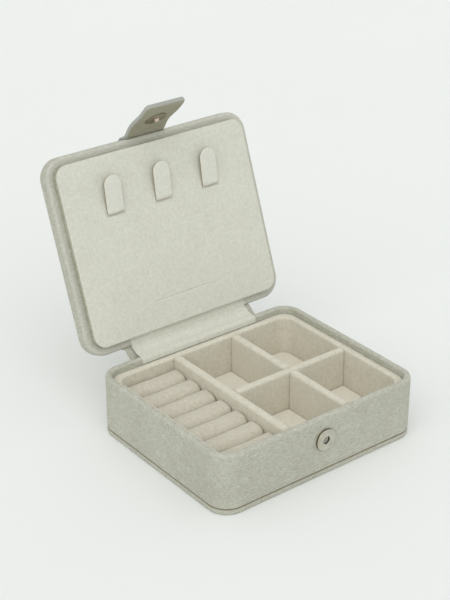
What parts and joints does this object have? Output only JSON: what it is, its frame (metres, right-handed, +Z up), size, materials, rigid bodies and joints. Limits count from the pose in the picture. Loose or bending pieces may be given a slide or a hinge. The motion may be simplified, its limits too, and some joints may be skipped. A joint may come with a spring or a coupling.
{
  "type": "travel jewellery case",
  "caption": "Rounded box with a hinged padded lid, necklace tongues, a row of ring rolls, open compartments and a strap that snaps shut.",
  "frame": {"origin": "centre of the box's underside, on the surface that it stands on", "axes": "+X to the right, +Y to the back, where the lid is hinged, and +Z up"},
  "size_m": [0.15, 0.1869, 0.1861],
  "materials": {
    "leather": "fine creased grain, matte",
    "board": "grey fibreboard",
    "suede": "short-nap suede",
    "roll_suede": "short-nap suede on foam",
    "snap_metal": "brushed pale gold plate",
    "magnet": "sintered magnet"
  },
  "bodies": {
    "base": {"bottom_cover": "leather", "wall_leather": "leather", "hinge_leather_base": "leather", "bottom_board": "board", "wall_core": "board", "floor_board": "board", "lining_wall": "suede", "divider_long": "suede", "divider_middle": "suede", "divider_cross": "suede", "floor_pad_front_left": "suede", "floor_pad_front_right": "suede", "floor_pad_back_left": "suede", "floor_pad_back_right": "suede", "hinge_suede_base": "suede", "ring_bed": "roll_suede", "ring_roll_1": "roll_suede", "ring_roll_2": "roll_suede", "ring_roll_3": "roll_suede", "ring_roll_4": "roll_suede", "ring_roll_5": "roll_suede", "ring_roll_6": "roll_suede", "ring_roll_7": "roll_suede", "snap_socket": "snap_metal", "snap_washer": "snap_metal", "snap_magnet": "magnet"},
    "lid": {"lid_leather": "leather", "lid_board": "board", "plinth_board": "board", "plinth_leather": "leather", "lid_panel": "suede", "hook_left": "suede", "hook_middle": "suede", "hook_right": "suede", "hinge_leather_lid": "leather", "hinge_suede_lid": "suede", "strap_anchor": "leather"},
    "strap": {"strap_outer": "leather", "strap_lining": "leather", "stud_washer": "snap_metal", "stud_plate": "snap_metal", "stud_post": "snap_metal"}
  },
  "joints": [
    {"name": "lid_hinge", "type": "hinge", "parent": "base", "child": "lid", "pos_m": [0, 0.0663, 0.03965], "axis": [1, 0, 0], "range_deg": [0, 110.35]},
    {"name": "strap_fold", "type": "hinge", "parent": "lid", "child": "strap", "pos_m": [0, 0.11984, 0.15955], "axis": [1, 0, 0], "range_deg": [-95, 14.7]}
  ]
}
